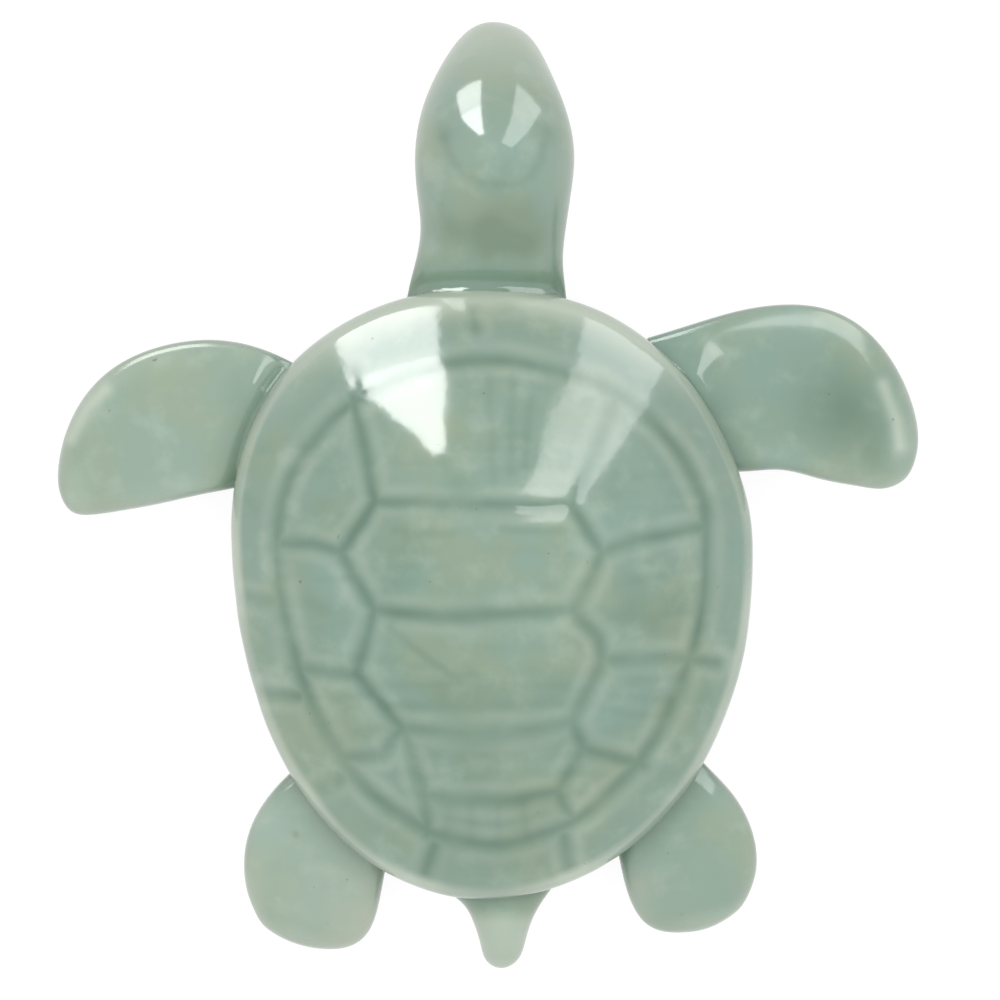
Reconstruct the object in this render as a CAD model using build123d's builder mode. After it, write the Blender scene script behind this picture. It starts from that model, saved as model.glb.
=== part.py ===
from build123d import *
from math import asin, atan2, cos, degrees, radians, sin, sqrt
import os

# A hollow ceramic sea turtle, luted from eight clay pieces and fired as one rigid ornament.
# The head points along +Y, the foot stands on z = 0 and the origin lies on the foot,
# below the widest line of the shell.

# Body: an egg in plan, two half ellipses that share their widest line
shell_half_width = 32.7
shell_front = 31.7
shell_rear = 45.85

# Carapace: a low dome that rolls over a rounded lip; the rise is from the lip's centre to the crown
seam_height = 10.5
lip_radius = 4.5
dome_rise = 15.3
dome_wall = 4.0
rim_wall = 7.5

# Plastron: a bowl with a flat foot, a spigot that locates the carapace, and a vent for the kiln
foot_half_width = 20.0
floor_wall = 4.0
seam_tuck = 0.5
spigot_height = 2.0
spigot_wall = 3.0
spigot_clearance = 0.2
vent_radius = 2.5
vent_setback = 12.0

# Carving on the carapace: the ring inside the marginal band and the scute lines
groove_width = 1.0
groove_depth = 0.6
ring_half_width = 26.9
ring_front = 22.5
ring_rear = 38.0

# Seats of the limbs: oval tenons in the plastron wall, and the gap that the slip fills
luting_gap = 0.15
tenon_height = 7.2
tenon_half_width = 3.4
tenon_half_depth = 1.6
tenon_depth = 3.5
tenon_grip = 3.0
tenon_clearance = 0.15
root_reach = 9.0

# Front flippers: angle of the root on the rim, heading in plan, and sizes
front_left_angle = 153.0
front_left_heading = -159.2
front_left_length = 27.0
front_left_half_width = 9.7
front_right_angle = 32.0
front_right_heading = -13.2
front_right_length = 26.75
front_right_half_width = 10.6
front_height = 9.4
front_half_depth = 4.7
front_droop = 1.4

# Hind flippers
hind_left_angle = -127.5
hind_left_heading = -106.9
hind_left_length = 15.7
hind_left_half_width = 8.85
hind_right_angle = -48.3
hind_right_heading = -73.2
hind_right_length = 16.05
hind_right_half_width = 8.3
hind_height = 9.0
hind_half_depth = 4.6
hind_droop = 1.4

# Head and neck
head_length = 34.0
head_half_width = 9.95
head_half_depth = 8.5
neck_height = 10.8
neck_rise = 4.9
crown_mark_station = 18.6
crown_mark_radius = 6.2
crown_mark_width = 0.9
crown_mark_depth = 0.5

# Tail
tail_angle = -87.4
tail_length = 8.6
tail_half_width = 5.2
tail_half_depth = 4.2
tail_height = 10.0
tail_droop = 3.0

overrun = 5.0

# Places that follow from the sizes above
rim_height = seam_height + lip_radius
crown_height = rim_height + dome_rise
seat_radius = shell_half_width - lip_radius
dome_drop = (seat_radius**2 - (dome_rise - lip_radius) ** 2) / (2 * (dome_rise - lip_radius))
dome_radius = dome_rise + dome_drop
dome_centre = rim_height - dome_drop
lip_sweep = degrees(atan2(dome_drop, seat_radius))
bowl_radius = seat_radius - seam_tuck
bowl_swell = bowl_radius - foot_half_width
mouth_radius = shell_half_width - rim_wall
ceiling_radius = dome_radius - dome_wall
ceiling_sweep = degrees(asin(mouth_radius / ceiling_radius))
spigot_radius = mouth_radius - spigot_clearance
hollow_radius = spigot_radius - spigot_wall
hollow_foot = foot_half_width - floor_wall
front_stretch = shell_front / shell_half_width
rear_stretch = shell_rear / shell_half_width
wall_radius = foot_half_width + bowl_swell * sqrt(1 - (1 - tenon_height / seam_height) ** 2)
wall_share = wall_radius / shell_half_width

# Sections of the limbs as shares: station of the length, side of the half width,
# rise of the droop or of the neck's rise, then half width and half depth
front_left_section_shares = (
    (-0.37, 0.30, 0.00, 0.50, 0.90),
    (-0.19, 0.013, 0.00, 0.797, 1.00),
    (0.00, -0.237, -0.12, 0.948, 1.00),
    (0.19, -0.373, -0.50, 1.012, 0.98),
    (0.37, -0.449, -0.80, 1.003, 0.94),
    (0.56, -0.46, -0.95, 0.937, 0.90),
    (0.74, -0.39, -1.00, 0.778, 0.83),
    (0.89, -0.239, -1.00, 0.533, 0.68),
    (0.963, -0.122, -1.00, 0.326, 0.48),
    (0.99, -0.08, -1.00, 0.18, 0.28),
    (1.00, -0.07, -1.00, 0.00, 0.00),
)
front_right_section_shares = (
    (-0.375, 0.12, 0.00, 0.50, 0.90),
    (-0.19, 0.066, 0.00, 0.826, 1.00),
    (0.00, 0.205, -0.12, 0.96, 1.00),
    (0.19, 0.343, -0.50, 1.022, 0.98),
    (0.375, 0.455, -0.80, 1.00, 0.94),
    (0.56, 0.429, -0.95, 0.963, 0.90),
    (0.75, 0.298, -1.00, 0.817, 0.83),
    (0.88, 0.141, -1.00, 0.62, 0.70),
    (0.948, 0.053, -1.00, 0.431, 0.55),
    (0.985, 0.005, -1.00, 0.25, 0.33),
    (1.00, -0.01, -1.00, 0.00, 0.00),
)
hind_left_section_shares = (
    (-0.58, 0.00, 0.00, 0.53, 0.90),
    (-0.32, -0.04, 0.00, 0.79, 1.00),
    (0.00, -0.125, -0.12, 0.961, 1.00),
    (0.256, -0.14, -0.50, 1.016, 0.97),
    (0.51, -0.084, -0.85, 1.004, 0.92),
    (0.705, -0.016, -1.00, 0.923, 0.84),
    (0.853, 0.019, -1.00, 0.758, 0.70),
    (0.942, 0.00, -1.00, 0.541, 0.52),
    (0.984, -0.01, -1.00, 0.29, 0.31),
    (1.00, -0.02, -1.00, 0.00, 0.00),
)
hind_right_section_shares = (
    (-0.55, 0.00, 0.00, 0.56, 0.90),
    (-0.28, 0.02, 0.00, 0.76, 1.00),
    (0.00, 0.115, -0.12, 0.935, 1.00),
    (0.249, 0.161, -0.50, 1.022, 0.97),
    (0.495, 0.145, -0.85, 1.038, 0.92),
    (0.685, 0.104, -1.00, 0.968, 0.84),
    (0.834, 0.064, -1.00, 0.809, 0.70),
    (0.933, 0.071, -1.00, 0.57, 0.55),
    (0.98, 0.08, -1.00, 0.30, 0.32),
    (1.00, 0.08, -1.00, 0.00, 0.00),
)
head_section_shares = (
    (-0.265, 0.05, -0.06, 0.92, 0.61),
    (-0.09, 0.07, 0.04, 1.02, 0.66),
    (0.10, 0.036, 0.43, 0.935, 0.705),
    (0.21, -0.01, 0.61, 0.918, 0.81),
    (0.34, -0.025, 0.84, 0.968, 0.93),
    (0.48, -0.033, 1.00, 1.007, 1.00),
    (0.647, -0.025, 0.83, 0.925, 0.947),
    (0.794, -0.025, 0.40, 0.735, 0.77),
    (0.897, -0.04, -0.04, 0.548, 0.565),
    (0.965, -0.04, -0.38, 0.346, 0.36),
    (0.991, -0.025, -0.53, 0.18, 0.19),
    (1.00, -0.015, -0.57, 0.00, 0.00),
)
tail_section_shares = (
    (-0.35, -0.04, 0.00, 1.06, 1.00),
    (0.00, -0.06, -0.10, 0.947, 0.98),
    (0.25, -0.035, -0.28, 0.742, 0.88),
    (0.62, -0.031, -0.62, 0.546, 0.68),
    (0.87, -0.05, -0.86, 0.395, 0.47),
    (0.965, -0.06, -0.96, 0.215, 0.27),
    (1.00, -0.06, -1.00, 0.00, 0.00),
)

# Scute lines as shares of the shell: across the half width, along the front or the rear length
left_chain_shares = (
    (-0.54, 0.57),
    (-0.444, 0.159),
    (-0.579, -0.03),
    (-0.459, -0.19),
    (-0.521, -0.364),
    (-0.34, -0.51),
    (-0.429, -0.584),
    (-0.263, -0.694),
    (-0.247, -0.80),
)
right_chain_shares = (
    (0.486, 0.578),
    (0.305, 0.131),
    (0.417, -0.033),
    (0.313, -0.19),
    (0.421, -0.317),
    (0.313, -0.493),
    (0.351, -0.565),
    (0.251, -0.683),
    (0.31, -0.76),
)
cross_line_shares = (
    ((-0.444, 0.159), (0.305, 0.131)),
    ((-0.459, -0.19), (0.313, -0.19)),
    ((-0.34, -0.51), (0.313, -0.493)),
    ((-0.263, -0.694), (0.251, -0.683)),
)
costal_line_shares = (
    ((-0.80, -0.003), (-0.579, -0.03)),
    ((-0.77, -0.342), (-0.521, -0.364)),
    ((-0.62, -0.60), (-0.429, -0.584)),
    ((0.80, 0.06), (0.417, -0.033)),
    ((0.87, -0.333), (0.421, -0.317)),
    ((0.61, -0.617), (0.351, -0.565)),
)
marginal_line_shares = (
    ((-0.066, 0.92), (-0.066, 0.71)),
    ((-0.525, 0.56), (-0.52, 0.70)),
    ((-0.96, -0.157), (-0.82, -0.163)),
    ((-0.888, -0.424), (-0.749, -0.413)),
    ((-0.649, -0.675), (-0.583, -0.647)),
    ((-0.274, -0.915), (-0.236, -0.80)),
    ((0.32, -0.882), (0.286, -0.79)),
)


def rim_point(angle, inset_share=1.0):
    """A point on the egg of the rim, or on a smaller egg like it, in plan."""
    length = shell_front if sin(radians(angle)) > 0 else shell_rear
    x = shell_half_width * cos(radians(angle))
    y = length * sin(radians(angle))
    return inset_share * x, inset_share * y


def upright_plane(point, heading):
    """A plane square to a heading in plan: local x points to its left, local y points up."""
    outward = (cos(radians(heading)), sin(radians(heading)), 0)
    left = (-sin(radians(heading)), cos(radians(heading)), 0)
    return Plane(origin=(*point, 0), x_dir=left, z_dir=outward)


def rim_heading(angle):
    """Heading of the outward normal of the rim."""
    length = shell_front if sin(radians(angle)) > 0 else shell_rear
    return degrees(atan2(sin(radians(angle)) / length, cos(radians(angle)) / shell_half_width))


def turned_half(profile, stretch, sense):
    """Half of a turned form, stretched along Y: sense 1 is the head's side, -1 the tail's side."""
    with BuildPart() as half:
        revolve(profile, axis=Axis.Z, revolution_arc=180 * sense)
        scale(by=(1, stretch, 1))
    return half.part


def egg_form(profile):
    """A form turned from a half profile and stretched into the egg of the shell."""
    with BuildPart() as form:
        add(turned_half(profile, front_stretch, 1))
        add(turned_half(profile, rear_stretch, -1))
    return form.part


def egg_face(half_width, front, rear):
    """The egg in plan, as a face."""
    with BuildSketch() as egg:
        with BuildLine():
            EllipticalCenterArc((0, 0), half_width, front, 0, arc_size=180)
            EllipticalCenterArc((0, 0), half_width, rear, 180, arc_size=180)
        make_face()
    return egg.sketch


def carapace_profile(gap):
    """Half profile of the solid dome and its lip, grown or shrunk: one arc rolls into the other."""
    with BuildSketch(Plane.XZ) as profile:
        with BuildLine():
            seat = Line((0, seam_height - gap), (seat_radius, seam_height - gap))
            CenterArc((seat_radius, rim_height), lip_radius + gap, -90, 90 + lip_sweep)
            dome = CenterArc((0, dome_centre), dome_radius + gap, lip_sweep, 90 - lip_sweep)
            Line(dome @ 1, seat @ 0)
        make_face()
    return profile.sketch


def bowl_profile(gap):
    """Half profile of the solid bowl below the seam, grown by a gap."""
    with BuildSketch(Plane.XZ) as profile:
        with BuildLine():
            foot = Line((0, -gap), (foot_half_width, -gap))
            side = EllipticalCenterArc(
                (foot_half_width, seam_height), bowl_swell + gap, seam_height + gap, -90, arc_size=90
            )
            Polyline(side @ 1, (0, seam_height), foot @ 0)
        make_face()
    return profile.sketch


def tenon(angle, clearance):
    """Oval peg square to the plastron wall, from inside the wall to inside the limb."""
    wall_plane = upright_plane(rim_point(angle, wall_share), rim_heading(angle))
    with BuildPart() as peg:
        with BuildSketch(wall_plane.offset(-tenon_depth - clearance)):
            with Locations((0, tenon_height)):
                Ellipse(tenon_half_width + clearance, tenon_half_depth + clearance)
        extrude(amount=tenon_depth + clearance + tenon_grip)
    return peg.part


def limb(angle, heading, length, half_width, half_depth, height, rise, section_shares):
    """A limb lofted through oval sections square to its heading; its root runs on into the body."""
    root = upright_plane(rim_point(angle), heading)
    outward = upright_plane(rim_point(angle), rim_heading(angle)).z_dir
    ovals = []
    for station, side, lift, width, depth in section_shares[:-1]:
        with BuildSketch(root.offset(station * length)) as oval:
            with Locations((side * half_width, height + lift * rise)):
                Ellipse(width * half_width, depth * half_depth)
        ovals.append(oval.sketch.face())
    station, side, lift, width, depth = section_shares[-1]
    tip = root.from_local_coords((side * half_width, height + lift * rise, station * length))
    with BuildPart() as form:
        loft([*ovals, Vertex(*tip)])
        extrude(ovals[0], amount=-root_reach, dir=outward)
    return form.part


def carving(pattern, floor_form):
    """Cutter for carved lines: the pattern, from above the piece down to the form of its floor."""
    with BuildPart() as cutter:
        extrude(pattern, amount=crown_height + overrun)
        add(floor_form, mode=Mode.SUBTRACT)
    return cutter.part


def on_round(shares):
    """Points in plan on the round dome, before it is drawn out into the egg."""
    return [(x * shell_half_width, y * shell_half_width) for x, y in shares]


def drawn_out(round_part):
    """A round form cut along its widest line, with each half stretched along Y into the egg."""
    with BuildPart() as form:
        for keep, stretch in ((Keep.BOTTOM, front_stretch), (Keep.TOP, rear_stretch)):
            with BuildPart(mode=Mode.PRIVATE) as half:
                add(round_part)
                split(bisect_by=Plane.XZ, keep=keep)
                scale(by=(1, stretch, 1))
            add(half.part)
    return form.part


# Solid bowl, and the body grown by the luting gap, which trims the roots of the limbs
bowl_form = egg_form(bowl_profile(0))
with BuildPart() as grown_body:
    add(egg_form(carapace_profile(luting_gap)))
    add(egg_form(bowl_profile(luting_gap)))

# Carapace: hollow dome, turned round and carved, then drawn out into the egg
with BuildSketch(Plane.XZ) as dome_hollow:
    with BuildLine():
        ceiling = CenterArc((0, dome_centre), ceiling_radius, 90 - ceiling_sweep, ceiling_sweep)
        Polyline(ceiling @ 1, (0, seam_height), (mouth_radius, seam_height), ceiling @ 0)
    make_face()
with BuildSketch(Plane.XZ) as dome_section:
    add(carapace_profile(0))
    add(dome_hollow.sketch, mode=Mode.SUBTRACT)
with BuildSketch(Plane.XY.offset(rim_height)) as scute_pattern:
    for side_share, side_mode in ((0.5, Mode.ADD), (-0.5, Mode.SUBTRACT)):
        side = side_share * groove_width
        ring_round = egg_face(
            ring_half_width + side, ring_front / front_stretch + side, ring_rear / rear_stretch + side
        )
        add(ring_round, mode=side_mode)
    for line_shares in (
        left_chain_shares,
        right_chain_shares,
        *cross_line_shares,
        *costal_line_shares,
        *marginal_line_shares,
    ):
        with BuildLine():
            line = Polyline(*on_round(line_shares))
        trace(line, line_width=groove_width)
with BuildPart() as groove_floor:
    revolve(carapace_profile(-groove_depth), axis=Axis.Z)
with BuildPart() as round_dome:
    revolve(dome_section.sketch, axis=Axis.Z)
    add(carving(scute_pattern.sketch, groove_floor.part), mode=Mode.SUBTRACT)
with BuildPart() as carapace:
    add(drawn_out(round_dome.part))

# Plastron: hollow bowl with the spigot, the vent and a socket for each limb
with BuildSketch(Plane.XZ) as spigot_profile:
    with BuildLine():
        Polyline(
            (0, floor_wall),
            (hollow_foot, floor_wall),
            (spigot_radius, seam_height),
            (spigot_radius, seam_height + spigot_height),
            (0, seam_height + spigot_height),
            close=True,
        )
    make_face()
with BuildSketch(Plane.XZ) as bowl_hollow:
    with BuildLine():
        inner = EllipticalCenterArc(
            (hollow_foot, seam_height),
            hollow_radius - hollow_foot,
            seam_height - floor_wall,
            -90,
            arc_size=90,
        )
        Polyline(
            inner @ 1,
            (hollow_radius, crown_height),
            (0, crown_height),
            (0, floor_wall),
            inner @ 0,
        )
    make_face()
limb_angles = (
    front_left_angle,
    front_right_angle,
    hind_left_angle,
    hind_right_angle,
    tail_angle,
    90,
)
with BuildPart() as plastron:
    add(bowl_form)
    add(egg_form(spigot_profile.sketch))
    add(egg_form(bowl_hollow.sketch), mode=Mode.SUBTRACT)
    with Locations((0, -vent_setback, floor_wall)):
        Hole(vent_radius, depth=floor_wall + overrun)
    for limb_angle in limb_angles:
        add(tenon(limb_angle, tenon_clearance), mode=Mode.SUBTRACT)

# Head and neck, with the arc pressed into the crown
head_form = limb(
    90, 90, head_length, head_half_width, head_half_depth, neck_height, neck_rise, head_section_shares
)
with BuildSketch(Plane.XY.offset(neck_height + neck_rise)) as crown_mark:
    with BuildLine():
        arc = CenterArc((0, shell_front + crown_mark_station), crown_mark_radius, 180, 180)
    trace(arc, line_width=crown_mark_width)
with BuildPart() as head:
    add(head_form)
    add(carving(crown_mark.sketch, Pos(0, 0, -crown_mark_depth) * head_form), mode=Mode.SUBTRACT)
    add(grown_body.part, mode=Mode.SUBTRACT)
    add(tenon(90, 0))

# Front flippers
with BuildPart() as front_flipper_left:
    add(
        limb(
            front_left_angle,
            front_left_heading,
            front_left_length,
            front_left_half_width,
            front_half_depth,
            front_height,
            front_droop,
            front_left_section_shares,
        )
    )
    add(grown_body.part, mode=Mode.SUBTRACT)
    add(tenon(front_left_angle, 0))
with BuildPart() as front_flipper_right:
    add(
        limb(
            front_right_angle,
            front_right_heading,
            front_right_length,
            front_right_half_width,
            front_half_depth,
            front_height,
            front_droop,
            front_right_section_shares,
        )
    )
    add(grown_body.part, mode=Mode.SUBTRACT)
    add(tenon(front_right_angle, 0))

# Hind flippers
with BuildPart() as hind_flipper_left:
    add(
        limb(
            hind_left_angle,
            hind_left_heading,
            hind_left_length,
            hind_left_half_width,
            hind_half_depth,
            hind_height,
            hind_droop,
            hind_left_section_shares,
        )
    )
    add(grown_body.part, mode=Mode.SUBTRACT)
    add(tenon(hind_left_angle, 0))
with BuildPart() as hind_flipper_right:
    add(
        limb(
            hind_right_angle,
            hind_right_heading,
            hind_right_length,
            hind_right_half_width,
            hind_half_depth,
            hind_height,
            hind_droop,
            hind_right_section_shares,
        )
    )
    add(grown_body.part, mode=Mode.SUBTRACT)
    add(tenon(hind_right_angle, 0))

# Tail
with BuildPart() as tail:
    add(
        limb(
            tail_angle,
            -90,
            tail_length,
            tail_half_width,
            tail_half_depth,
            tail_height,
            tail_droop,
            tail_section_shares,
        )
    )
    add(grown_body.part, mode=Mode.SUBTRACT)
    add(tenon(tail_angle, 0))

pieces = {
    "carapace": carapace,
    "plastron": plastron,
    "head": head,
    "front_flipper_left": front_flipper_left,
    "front_flipper_right": front_flipper_right,
    "hind_flipper_left": hind_flipper_left,
    "hind_flipper_right": hind_flipper_right,
    "tail": tail,
}
os.makedirs("parts", exist_ok=True)
for name, piece in pieces.items():
    piece.part.label = name
    export_step(piece.part, f"parts/{name}.step")
    print(name, len(piece.part.solids()), round(piece.part.volume))
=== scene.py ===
import math

import bmesh
import bpy
import numpy as np
from mathutils import Matrix, Vector, noise
from mathutils.bvhtree import BVHTree


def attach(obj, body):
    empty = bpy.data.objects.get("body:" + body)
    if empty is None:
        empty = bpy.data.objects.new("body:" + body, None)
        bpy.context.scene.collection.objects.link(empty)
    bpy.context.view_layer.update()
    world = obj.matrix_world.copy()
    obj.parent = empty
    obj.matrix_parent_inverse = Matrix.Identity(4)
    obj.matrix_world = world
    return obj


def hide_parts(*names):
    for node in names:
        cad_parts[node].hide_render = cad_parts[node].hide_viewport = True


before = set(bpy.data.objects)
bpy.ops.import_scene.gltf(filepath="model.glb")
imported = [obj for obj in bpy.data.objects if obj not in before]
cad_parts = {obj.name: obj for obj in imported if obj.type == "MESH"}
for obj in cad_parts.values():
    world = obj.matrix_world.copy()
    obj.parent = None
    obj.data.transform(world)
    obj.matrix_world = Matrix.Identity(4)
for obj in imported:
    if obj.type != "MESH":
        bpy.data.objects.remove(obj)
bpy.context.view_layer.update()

# Plastron: the lower half of the hollow body, a stoneware bowl pressed into a mould.
# A spigot on its edge locates the carapace and a vent lets the kiln gases out. It is glazed
# down to the foot, which was wiped bare so that it would not stick to the kiln shelf.
shell_half_width = 0.0327
shell_front = 0.0317
shell_rear = 0.04585
seam_height = 0.0105
lip_radius = 0.0045
rim_wall = 0.0075
seat_radius = shell_half_width - lip_radius
mouth_radius = shell_half_width - rim_wall
bowl_radius = seat_radius - 0.0005
foot_half_width = 0.020
floor_wall = 0.004
spigot_radius = mouth_radius - 0.0002
spigot_top = seam_height + 0.002
hollow_radius = spigot_radius - 0.003
hollow_foot = foot_half_width - floor_wall
vent_radius = 0.0025
vent_sides = 48
vent_y = -0.012
bare_height = 0.0009
bowl_steps = 14
bowl_sides = 160


def stretch_of(y):
    """How far the egg of the body is drawn out along Y, on the head's side or the tail's side."""
    return np.where(np.asarray(y) > 0, shell_front, shell_rear) / shell_half_width


def read_points(mesh):
    """The mesh's vertices as an array of rows."""
    points = np.zeros(len(mesh.vertices) * 3)
    mesh.vertices.foreach_get("co", points)
    return points.reshape(-1, 3)


def write_points(mesh, points):
    """Moves the mesh's vertices to the rows of an array."""
    mesh.vertices.foreach_set("co", points.astype(np.float32).ravel())
    mesh.update()


def mark(mesh, name, values):
    """Keeps one number per vertex for the glaze to read."""
    layer = mesh.attributes.new(name, "FLOAT", "POINT")
    layer.data.foreach_set("value", np.clip(values, 0.0, 1.0).astype(np.float32))


def cloudy(points, scale, shift=0.0):
    """Soft noise from -1 to 1 at each point; scale is the number of swells per metre."""
    moved = Vector((shift, shift, shift))
    return np.array([noise.noise(Vector(p) * scale + moved) for p in points])


def ease(low, high, values):
    """0 below low, 1 above high, smooth between."""
    share = np.clip((values - low) / (high - low), 0.0, 1.0)
    return share * share * (3 - 2 * share)


def glaze_of_celadon():
    """Green-grey celadon over pale stoneware: dark where it pools, thin and warm on the edges, with
    painted shade and painted highlights laid in the same dark and pale.
    """
    glaze = bpy.data.materials.new("celadon_glaze")
    glaze.use_nodes = True
    tree = glaze.node_tree
    body = tree.nodes["Principled BSDF"]
    body.inputs["IOR"].default_value = 1.75
    place = tree.nodes.new("ShaderNodeTexCoord")

    def cloud(scale, detail, low, high):
        texture = tree.nodes.new("ShaderNodeTexNoise")
        texture.inputs["Scale"].default_value = scale
        texture.inputs["Detail"].default_value = detail
        tree.links.new(place.outputs["Object"], texture.inputs["Vector"])
        spread = tree.nodes.new("ShaderNodeMapRange")
        spread.interpolation_type = "SMOOTHSTEP"
        spread.inputs["From Min"].default_value = low
        spread.inputs["From Max"].default_value = high
        tree.links.new(texture.outputs["Fac"], spread.inputs["Value"])
        return spread.outputs["Result"]

    def layer(below, colour, share, strength):
        amount = tree.nodes.new("ShaderNodeMath")
        amount.operation = "MULTIPLY"
        amount.inputs[1].default_value = strength
        tree.links.new(share, amount.inputs[0])
        mix = tree.nodes.new("ShaderNodeMix")
        mix.data_type = "RGBA"
        tree.links.new(amount.outputs["Value"], mix.inputs["Factor"])
        if isinstance(below, tuple):
            mix.inputs["A"].default_value = (*below, 1)
        else:
            tree.links.new(below, mix.inputs["A"])
        mix.inputs["B"].default_value = (*colour, 1)
        return mix.outputs["Result"]

    def marked(name):
        attribute = tree.nodes.new("ShaderNodeAttribute")
        attribute.attribute_name = name
        return attribute.outputs["Fac"]

    sea_green = (0.204, 0.313, 0.247)
    colour = layer(sea_green, (0.245, 0.322, 0.210), cloud(75, 3, 0.42, 0.68), 0.80)
    colour = layer(colour, (0.192, 0.323, 0.273), cloud(95, 3, 0.48, 0.70), 0.65)
    colour = layer(colour, (0.150, 0.262, 0.190), cloud(140, 4, 0.52, 0.74), 0.50)
    colour = layer(colour, (0.320, 0.420, 0.331), cloud(230, 5, 0.47, 0.76), 0.60)
    colour = layer(colour, (0.108, 0.184, 0.112), marked("olive"), 0.85)
    colour = layer(colour, (0.375, 0.365, 0.270), marked("warm"), 0.80)
    # Dark green where the glaze pools in grooves and hollows; the same dark also paints shade under
    # the lip and along the seams of the limbs.
    colour = layer(colour, (0.085, 0.172, 0.115), marked("pool_and_shade"), 0.90)
    # Pale where the glaze runs thin over edges and ridges; the same pale also paints a reflection
    # on the front of the lip, light on the snout and highlights on the flipper tips.
    colour = layer(colour, (0.520, 0.590, 0.485), marked("thin_and_sheen"), 0.85)
    colour = layer(colour, (0.070, 0.095, 0.065), cloud(900, 1, 0.79, 0.83), 0.50)
    colour = layer(colour, (0.480, 0.395, 0.290), marked("bare"), 1.0)
    tree.links.new(colour, body.inputs["Base Color"])
    fired_roughness = 0.10
    glossy = None
    for name, amount in (("bare", 0.62), ("dull", 0.16)):
        rougher = tree.nodes.new("ShaderNodeMath")
        rougher.operation = "MULTIPLY_ADD"
        rougher.inputs[1].default_value = amount
        rougher.inputs[2].default_value = fired_roughness
        tree.links.new(marked(name), rougher.inputs[0])
        if glossy:
            tree.links.new(glossy, rougher.inputs[2])
        glossy = rougher.outputs["Value"]
    tree.links.new(glossy, body.inputs["Roughness"])
    ripple = tree.nodes.new("ShaderNodeBump")
    ripple.inputs["Strength"].default_value = 0.05
    ripple.inputs["Distance"].default_value = 0.0002
    tree.links.new(cloud(330, 2, 0.2, 0.8), ripple.inputs["Height"])
    tree.links.new(ripple.outputs["Normal"], body.inputs["Normal"])
    return glaze


celadon = glaze_of_celadon()


def fire(bm, node):
    """The finished clay as a smooth glazed object that stands for its CAD node."""
    bmesh.ops.remove_doubles(bm, verts=bm.verts, dist=1e-7)
    bmesh.ops.recalc_face_normals(bm, faces=bm.faces)
    mesh = bpy.data.meshes.new(node + "_glazed")
    bm.to_mesh(mesh)
    bm.free()
    mesh.shade_smooth()
    mesh.materials.append(celadon)
    piece = bpy.data.objects.new(node + "_glazed", mesh)
    bpy.context.scene.collection.objects.link(piece)
    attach(piece, "root")
    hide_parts(node)
    return piece


def turn_bowl():
    """The bowl's half profile, turned round and drawn out into the egg."""
    quarter = [0.5 * math.pi * step / bowl_steps for step in range(bowl_steps + 1)]
    profile = [(0.0, floor_wall)]
    for turn in quarter:
        inner = hollow_foot + (hollow_radius - hollow_foot) * math.sin(turn)
        profile.append((inner, seam_height - (seam_height - floor_wall) * math.cos(turn)))
    profile.append((hollow_radius, spigot_top))
    profile.append((spigot_radius, spigot_top))
    profile.append((spigot_radius, seam_height))
    for turn in reversed(quarter):
        outer = foot_half_width + (bowl_radius - foot_half_width) * math.sin(turn)
        profile.append((outer, seam_height - seam_height * math.cos(turn)))
    for share in (0.92, 0.6, 0.0):
        profile.append((foot_half_width * share, 0.0))
    bm = bmesh.new()
    verts = [bm.verts.new((radius, 0, height)) for radius, height in profile]
    edges = [bm.edges.new(pair) for pair in zip(verts, verts[1:])]
    bmesh.ops.spin(
        bm, geom=verts + edges, cent=(0, 0, 0), axis=(0, 0, 1), angle=2 * math.pi,
        steps=bowl_sides, use_merge=True, use_duplicate=False,
    )
    for vert in bm.verts:
        vert.co.y *= float(stretch_of(vert.co.y))
    return bm


def bore_vent(piece):
    """Cuts the vent through the floor of the bowl."""
    bm = bmesh.new()
    bmesh.ops.create_cone(
        bm, cap_ends=True, segments=vent_sides, radius1=vent_radius, radius2=vent_radius,
        depth=4 * floor_wall,
    )
    bmesh.ops.translate(bm, verts=bm.verts, vec=(0, vent_y, 0))
    borer_mesh = bpy.data.meshes.new("borer")
    bm.to_mesh(borer_mesh)
    bm.free()
    borer = bpy.data.objects.new("borer", borer_mesh)
    bpy.context.scene.collection.objects.link(borer)
    cut = piece.modifiers.new("vent", "BOOLEAN")
    cut.operation = "DIFFERENCE"
    cut.solver = "EXACT"
    cut.object = borer
    bored = bpy.data.meshes.new_from_object(
        piece.evaluated_get(bpy.context.evaluated_depsgraph_get())
    )
    piece.modifiers.clear()
    piece.data = bored
    bpy.data.objects.remove(borer)
    bored.shade_smooth()
    bored.set_sharp_from_angle(angle=math.radians(50))


plastron = fire(turn_bowl(), "plastron")
bore_vent(plastron)
bowl_points = read_points(plastron.data)
mark(plastron.data, "bare", 1 - ease(0.6 * bare_height, 1.3 * bare_height, bowl_points[:, 2]))
# Painted shade: the top of the bowl under the lip of the carapace is darkened; the band just above
# the bare foot is glaze that rolled thick at the wiped edge.
painted_shade_below_lip = ease(0.55 * seam_height, seam_height, bowl_points[:, 2])
bare_edge = np.exp(-(((bowl_points[:, 2] - 2.2 * bare_height) / bare_height) ** 2))
mark(plastron.data, "pool_and_shade", 0.6 * painted_shade_below_lip + 0.4 * bare_edge)

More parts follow.
